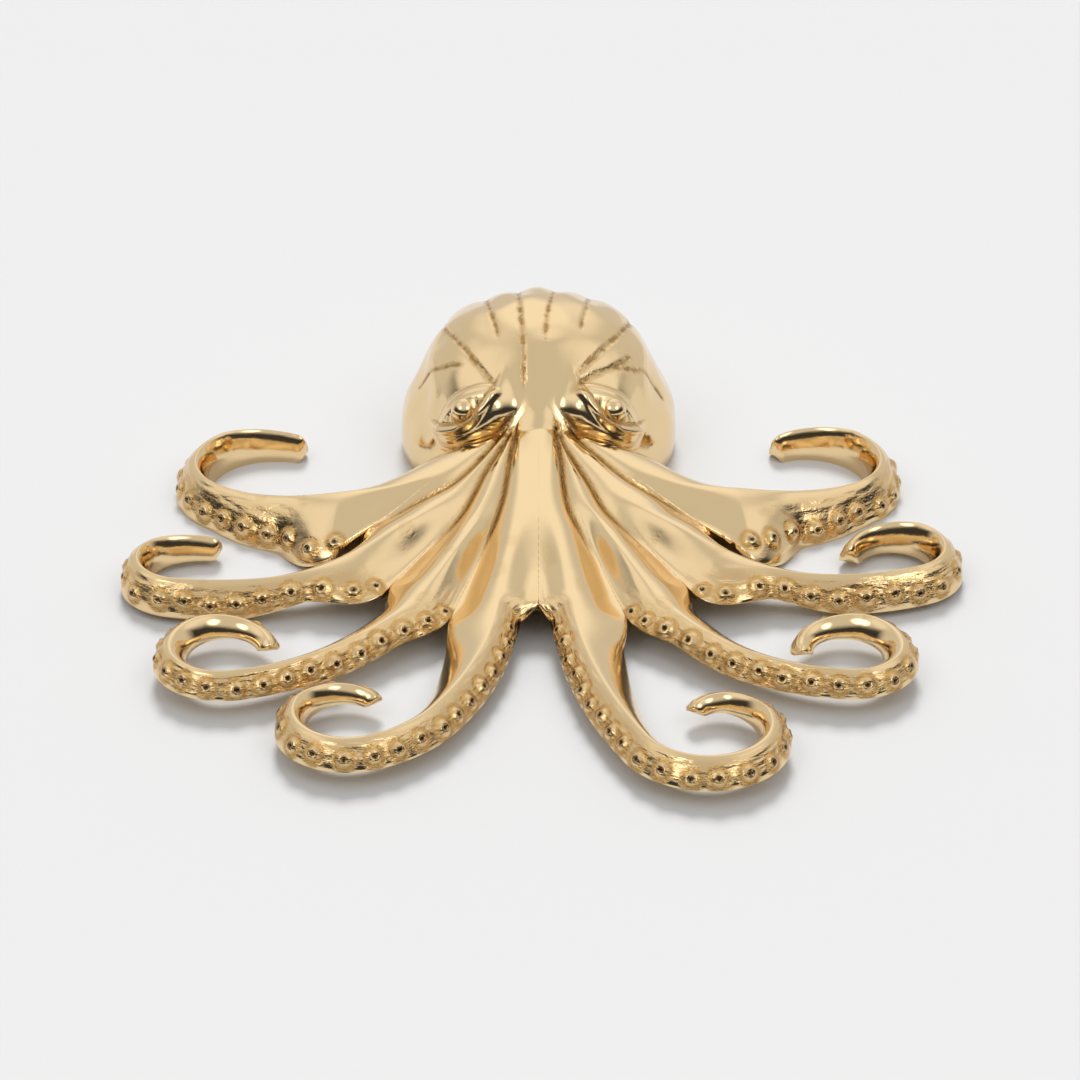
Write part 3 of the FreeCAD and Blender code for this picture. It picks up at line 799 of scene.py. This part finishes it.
def sucker_places(arm):
    """Places of the suckers: station, angle from the outer foot, radius."""
    start = SUCKER_STARTS[arm.name[-1]]
    angle = SUCKER_ANGLES[arm.name[-1]]
    chance = np.random.default_rng(int(arm.length) * 10 + arm.side)
    places = []
    station = start
    while station < arm.length - SUCKER_FREE_TIP:
        share = (station - start) / (arm.length - start)
        radius = (size("sucker_radius") - size("sucker_taper") * share) * chance.uniform(0.88, 1.06)
        radius *= 1 - 0.3 * np.exp(-(station - start) / SUCKER_START_RUN)
        places.append((station, angle + chance.uniform(-5, 5), radius))
        station += SUCKER_PITCH_SHARE * radius * chance.uniform(0.96, 1.12)
    return places


def raise_suckers(arm, stations, degrees, skin):
    """Rise of one arm's suckers, their grainy rims and the painted shade in their pits."""
    rise, rough, pit = (np.zeros(skin.shape[:2]) for mask in range(3))
    for station, angle, radius in sucker_places(arm):
        i = int(np.searchsorted(stations, station))
        j = int(np.searchsorted(degrees, angle))
        near = slice(max(i - 20, 0), i + 20)
        away = np.linalg.norm(skin[near] - skin[i, j], axis=2)
        dome = np.exp(-(away / (SUCKER_DOME_SHARE * radius)) ** 3.0)
        hole = bell(away, size("sucker_pit"))
        rise[near] += SUCKER_RISE_SHARE * radius * dome - SUCKER_PIT_DEPTH * hole
        # Painted shade in the sucker's pit.
        pit[near] = np.maximum(pit[near], 2.0 * bell(away, 1.05))
        rough[near] = np.maximum(rough[near], bell(away - radius * 1.1, 1.8))
    return rise, rough, pit


def roughen(arm, stations, degrees, skin):
    """Rise of one arm's wrinkles, where the sand's grain shows, and the painted shade along the creases."""
    station, degree = np.meshgrid(stations, degrees, indexing="ij")
    on_flank = ease((degree - 8) / 20) * ease((82 - degree) / 25)
    free = ease((station - 70) / 30)
    spread = np.stack([station.ravel() / 6, degree.ravel() / 7, 0 * degree.ravel()], axis=1)
    rise = WRINKLE_RISE * waves(spread, int(arm.length), 2.2).reshape(station.shape) * on_flank * free
    spots = waves(skin.reshape(-1, 3), int(arm.length) + 7, PATCH_SPACING).reshape(station.shape)
    patches = 0.3 * ease((spots - 0.5) / 1.2) * ease((station - 45) / 20) * ease((130 - degree) / 40)
    away = web_creases(skin[..., 0], skin[..., 1])
    crease = ease((72 - np.hypot(skin[..., 0], skin[..., 1])) / 25)
    # Grain on the free flanks, patches and creases; it also turns them a deeper gold, which is partly painted
    # shade.
    rough = np.maximum.reduce([0.45 * on_flank * free, patches, bell(away, 1.8) * crease])
    # The last mask is painted shade along the bottoms of the web's creases.
    return rise, rough, 0.5 * bell(away, 0.8) * crease


def carve_arm(arm, stations, angles, rows):
    """Suckers, wrinkles and grain on the outside of one arm, with the masks for the brass, painted shade
    among them.
    """
    count = len(angles)
    skin = rows[:, :count].copy()
    normal = row_normals(skin)
    normal *= np.sign(((skin - skin.mean(axis=1, keepdims=True)) * normal).sum())
    suckers, rims, pits = raise_suckers(arm, stations, np.degrees(angles), skin)
    wrinkles, grain, painted_crease_shade = roughen(arm, stations, np.degrees(angles), skin)
    carved = rows.copy()
    carved[:, :count] = skin + normal * (suckers + wrinkles)[..., None]
    rough, pit = (np.zeros(rows.shape[:2]) for mask in range(2))
    rough[:, :count] = np.maximum(rims, grain)
    pit[:, :count] = np.maximum(pits, painted_crease_shade)
    return carved, rough, pit


def raise_front_ridge(rows, count):
    """Raises what both front arms share, the ridge down the middle of the web between them."""
    x = rows[:, :count, 0]
    front = -rows[:, :count, 1]
    ends = ease((front - FRONT_RIDGE_START) / 30) * ease((FRONT_RIDGE_END - front) / 10)
    rows[:, :count, 2] += FRONT_RIDGE_RISE * bell(x, FRONT_RIDGE_REACH) * ends


def blend_to_mantle(rows, count, neck, tree):
    """Raises the arms where they meet the forehead, so that one flows into the other."""
    top = rows[:, :count]
    near = np.hypot(top[..., 0], top[..., 1]) < BLEND_LIMIT
    for i, j in zip(*np.nonzero(near)):
        x, y, z = top[i, j]
        hit = tree.ray_cast(Vector(((x + neck[0]) * MM, (y + neck[1]) * MM, 1)), Vector((0, 0, -1)))[0]
        if hit is None:
            continue
        dome = hit.z / MM
        blend = MIDDLE_BLEND * float(bell(x, MIDDLE_BLEND_REACH)) + BROW_BLEND
        gap = abs(dome - z)
        if gap < blend:
            sunk = 0.5 * (gap / blend) ** 2 * (z < dome)
            top[i, j, 2] = max(dome, z) + (blend - gap) ** 2 / (4 * blend) - sunk


class OCTOPUS_OT_arms(bpy.types.Operator):
    """Adds the eight arms, each with its own part of the web and its suckers"""

    bl_idname = "octopus.arms"
    bl_label = "Add arms"

    def execute(self, context):
        neck = neck_place()
        mantle = bpy.data.objects["mantle_casting"]
        tree = BVHTree.FromObject(mantle, context.evaluated_depsgraph_get())
        for name in ARMS:
            arm = Arm(name)
            stations, angles, rows = arm_rows(arm)
            rows = blunt_tip(arm, stations, rows)
            raise_front_ridge(rows, len(angles))
            rows, rough, pit = carve_arm(arm, stations, angles, rows)
            blend_to_mantle(rows, len(angles), neck, tree)
            rows[..., 0] += neck[0]
            rows[..., 1] += neck[1]
            obj = grid_mesh(name + "_casting", rows)
            write_mask(obj, "rough", rough.ravel())
            write_mask(obj, "pit", pit.ravel())
            # The grain runs along the arm, drawn out by the dressing, and differs on each arm.
            along, over = np.meshgrid(stations / GRAIN_STRETCH + 100 * arm.side,
                                      np.linspace(0, GRAIN_AROUND, rows.shape[1]), indexing="ij")
            write_flow(obj, np.stack([along, over, np.full_like(along, arm.length)], axis=-1))
            finish_piece(obj, [name], brass())
        return {"FINISHED"}


# Brass

# Sand grain is a few tenths of a millimetre wide. It is drawn about a millimetre wide, so that it
# shows.
GRAINS_PER_MM = 0.95

# The buffing wheel leaves soft waves, about 17 mm long.
BUFFING_WAVES_PER_METRE = 60.0

# Depth of the grain and of the buffing waves, in metres.
GRAIN_DEPTH = 0.0009
BUFFING_DEPTH = 0.0012


def add_node(tree, kind, settings=None, inputs=None):
    """Adds a shader node, sets it and links or fills its inputs."""
    node = tree.nodes.new(kind)
    for key, value in (settings or {}).items():
        setattr(node, key, value)
    for key, value in (inputs or {}).items():
        if isinstance(value, bpy.types.NodeSocket):
            tree.links.new(value, node.inputs[key])
        else:
            node.inputs[key].default_value = value
    return node


def brass():
    """Sand-cast brass, dressed and buffed."""
    if "sand_cast_brass" in bpy.data.materials:
        return bpy.data.materials["sand_cast_brass"]
    # Yellow brass, cast in sand and polished where the wheel can reach. The open faces are pale
    # mirrors with soft edges to what they reflect. The creases and the rings round the suckers
    # keep their grain, which scatters the light. Their deeper gold is partly that grain and partly
    # painted shade, and the dark pits and crease bottoms are painted shade.
    material = bpy.data.materials.new("sand_cast_brass")
    material.use_nodes = True
    tree = material.node_tree
    shader = tree.nodes["Principled BSDF"]
    rough = add_node(tree, "ShaderNodeAttribute", {"attribute_name": "rough"}).outputs["Fac"]
    pit = add_node(tree, "ShaderNodeAttribute", {"attribute_name": "pit"}).outputs["Fac"]
    flow = add_node(tree, "ShaderNodeAttribute", {"attribute_name": "flow"}).outputs["Vector"]
    place = add_node(tree, "ShaderNodeTexCoord").outputs["Object"]
    # From polished faces to raw creases: how far the colour changes, the roughness, the relief.
    steps = {}
    for name, low, high in (("change", 0.0, 0.75), ("roughness", 0.11, 0.2), ("relief", 0.02, 0.9)):
        step = add_node(tree, "ShaderNodeMapRange", {"interpolation_type": "SMOOTHSTEP"},
                        {"Value": rough, "To Min": low, "To Max": high})
        steps[name] = step.outputs["Result"]
    mix = {"data_type": "RGBA"}
    # The deeper gold of the grainy parts is partly painted shade.
    face = add_node(tree, "ShaderNodeMix", mix,
                    {"Factor": steps["change"], 6: colour("bright_brass"), 7: colour("grainy_shaded_brass")})
    # Painted shade: the pit mask darkens the pits and crease bottoms to the pit shade.
    skin = add_node(tree, "ShaderNodeMix", mix,
                    {"Factor": pit, 6: face.outputs[2], 7: colour("pit_shade")})
    grain = add_node(tree, "ShaderNodeTexNoise", None,
                     {"Vector": flow, "Scale": GRAINS_PER_MM, "Detail": 3.0, "Roughness": 0.6})
    buffing = add_node(tree, "ShaderNodeTexNoise", None,
                       {"Vector": place, "Scale": BUFFING_WAVES_PER_METRE, "Detail": 4.0, "Roughness": 0.5})
    grainy = add_node(tree, "ShaderNodeBump", None,
                      {"Height": grain.outputs["Fac"], "Strength": steps["relief"], "Distance": GRAIN_DEPTH})
    buffed = add_node(tree, "ShaderNodeBump", None,
                      {"Height": buffing.outputs["Fac"], "Strength": 0.12, "Distance": BUFFING_DEPTH,
                       "Normal": grainy.outputs["Normal"]})
    shader.inputs["Metallic"].default_value = 1.0
    tree.links.new(skin.outputs[2], shader.inputs["Base Color"])
    tree.links.new(steps["roughness"], shader.inputs["Roughness"])
    tree.links.new(buffed.outputs["Normal"], shader.inputs["Normal"])
    return material


# Stage

# The floor's side and the key light: degrees that it leans to the front, its power and how wide
# it looks, in radians.
FLOOR_SIDE = 30.0
KEY_LEAN = 43.0
KEY_POWER = 2.5
KEY_SPREAD = 0.35

# Light that comes from each direction, as points on a round of radius 1 with the ornament in the
# middle, x to the right, y to the back and z up. The tent is brightest nearest this point.
TENT_MIDDLE = (0.0, 0.72, 0.7)

# Panels of light to both sides: the middle of the right one, the distances from it at which it
# starts and ends to fade, and its strength. The first stand beside the camera, the others above.
PANELS = (
    ((0.52, -0.48, 0.7), 0.12, 0.3, 1.8),
    ((0.62, 0.1, 0.78), 0.15, 0.5, 0.28),
)

# The camera, as it stood for the photograph: distance in metres, degrees above the floor, what it
# looks at, in millimetres from the neck, and its focal length in the photograph's pixels.
CAMERA_DISTANCE = 1.1
CAMERA_ELEVATION = 30.0
CAMERA_TARGET = (0.5, -52.0, 15.0)
FOCAL_PIXELS = 3322
PHOTO_PIXELS = 1080
SENSOR_WIDTH = 36.0


def add_floor():
    """The pale sheet of paper that the ornament lies on."""
    bpy.ops.mesh.primitive_plane_add(size=FLOOR_SIDE)
    floor = bpy.context.object
    floor.name = "floor"
    # Uncoated white paper, which scatters the light evenly and shows soft shadows.
    paper = bpy.data.materials.new("white_paper")
    paper.use_nodes = True
    shader = paper.node_tree.nodes["Principled BSDF"]
    shader.inputs["Base Color"].default_value = colour("paper")
    shader.inputs["Roughness"].default_value = 0.9
    floor.data.materials.append(paper)


def light_tent(scene):
    """A white tent, brightest behind the ornament, with a dark room low in front, and panels."""
    world = scene.world or bpy.data.worlds.new("studio")
    scene.world = world
    world.use_nodes = True
    tree = world.node_tree
    ray = add_node(tree, "ShaderNodeTexCoord").outputs["Generated"]
    parts = add_node(tree, "ShaderNodeSeparateXYZ", None, {"Vector": ray}).outputs
    beside = add_node(tree, "ShaderNodeMath", {"operation": "ABSOLUTE"}, {0: parts["X"]})
    folded = add_node(tree, "ShaderNodeCombineXYZ", None,
                      {"X": beside.outputs["Value"], "Y": parts["Y"], "Z": parts["Z"]})
    # Soft steps: what is measured, where the step starts and ends, and the light before and after.
    from_middle = add_node(tree, "ShaderNodeVectorMath", {"operation": "DISTANCE"}, {0: ray, 1: TENT_MIDDLE})
    steps = [
        (from_middle.outputs["Value"], 0.2, 0.6, 1.1, 0.72),
        (parts["Z"], 0.36, 0.62, 0.06, 1.0),
        (parts["Y"], -0.1, 0.45, 0.0, 1.0),
    ]
    for middle, start, end, strength in PANELS:
        away = add_node(tree, "ShaderNodeVectorMath", {"operation": "DISTANCE"},
                        {0: folded.outputs["Vector"], 1: middle})
        steps.append((away.outputs["Value"], start, end, strength, 0.0))
    lights = []
    for value, start, end, before, after in steps:
        run = {"Value": value, "From Min": start, "From Max": end, "To Min": before, "To Max": after}
        step = add_node(tree, "ShaderNodeMapRange", {"interpolation_type": "SMOOTHSTEP"}, run)
        lights.append(step.outputs["Result"])
    tent, above, behind, *panels = lights
    open_sides = add_node(tree, "ShaderNodeMath", {"operation": "MAXIMUM"}, {0: above, 1: behind})
    light = add_node(tree, "ShaderNodeMath", {"operation": "MULTIPLY"},
                     {0: tent, 1: open_sides.outputs["Value"]})
    for panel in panels:
        light = add_node(tree, "ShaderNodeMath", {"operation": "ADD"}, {0: light.outputs["Value"], 1: panel})
    back = tree.nodes["Background"]
    back.inputs["Color"].default_value = (1, 1, 1, 1)
    tree.links.new(light.outputs["Value"], back.inputs["Strength"])


def add_key_light():
    """The soft light from behind. It only lights the paper, since the brass mirrors the tent."""
    bpy.ops.object.light_add(type="SUN", rotation=(math.radians(-KEY_LEAN), 0, 0))
    key = bpy.context.object
    key.data.energy = KEY_POWER
    key.data.angle = KEY_SPREAD
    key.visible_glossy = False


def add_camera(scene):
    """The camera at the photograph's place."""
    neck = neck_place()
    right, back, up = CAMERA_TARGET
    target = Vector(((neck[0] + right) * MM, (neck[1] + back) * MM, up * MM))
    elevation = math.radians(CAMERA_ELEVATION)
    back_off = Vector((0, -math.cos(elevation), math.sin(elevation))) * CAMERA_DISTANCE
    bpy.ops.object.camera_add(location=target + back_off)
    camera = bpy.context.object
    camera.rotation_euler = (-back_off).to_track_quat("-Z", "Y").to_euler()
    camera.data.sensor_width = SENSOR_WIDTH
    camera.data.lens = FOCAL_PIXELS / PHOTO_PIXELS * SENSOR_WIDTH
    camera.data.clip_start = 0.05
    camera.data.clip_end = 50
    scene.camera = camera


class OCTOPUS_OT_stage(bpy.types.Operator):
    """Adds the pale floor, the soft studio light and the camera"""

    bl_idname = "octopus.stage"
    bl_label = "Add stage"

    def execute(self, context):
        add_floor()
        light_tent(context.scene)
        add_key_light()
        add_camera(context.scene)
        context.scene.view_settings.view_transform = "Standard"
        return {"FINISHED"}


class OCTOPUS_PT_panel(bpy.types.Panel):
    """Sizes and steps of the octopus"""

    bl_label = "Octopus figurine"
    bl_idname = "OCTOPUS_PT_panel"
    bl_space_type = "VIEW_3D"
    bl_region_type = "UI"
    bl_category = "Octopus"

    def draw(self, context):
        for group in (context.scene.octopus_sizes, context.scene.octopus_colours):
            for name in group.__annotations__:
                self.layout.prop(group, name)
        for step in (OCTOPUS_OT_mantle, OCTOPUS_OT_arms, OCTOPUS_OT_stage):
            self.layout.operator(step.bl_idname)


CLASSES = (
    OctopusSizes,
    OctopusColours,
    OCTOPUS_OT_mantle,
    OCTOPUS_OT_arms,
    OCTOPUS_OT_stage,
    OCTOPUS_PT_panel,
)


def register():
    """Makes the sizes, the colours, the steps and the panel known."""
    for each in CLASSES:
        bpy.utils.register_class(each)
    bpy.types.Scene.octopus_sizes = PointerProperty(type=OctopusSizes)
    bpy.types.Scene.octopus_colours = PointerProperty(type=OctopusColours)


def unregister():
    """Takes them away again."""
    del bpy.types.Scene.octopus_colours
    del bpy.types.Scene.octopus_sizes
    for each in reversed(CLASSES):
        bpy.utils.unregister_class(each)


def main():
    """Builds the ornament and its stage."""
    register()
    bpy.ops.octopus.mantle()
    bpy.ops.octopus.arms()
    bpy.ops.octopus.stage()


if __name__ == "__main__":
    main()
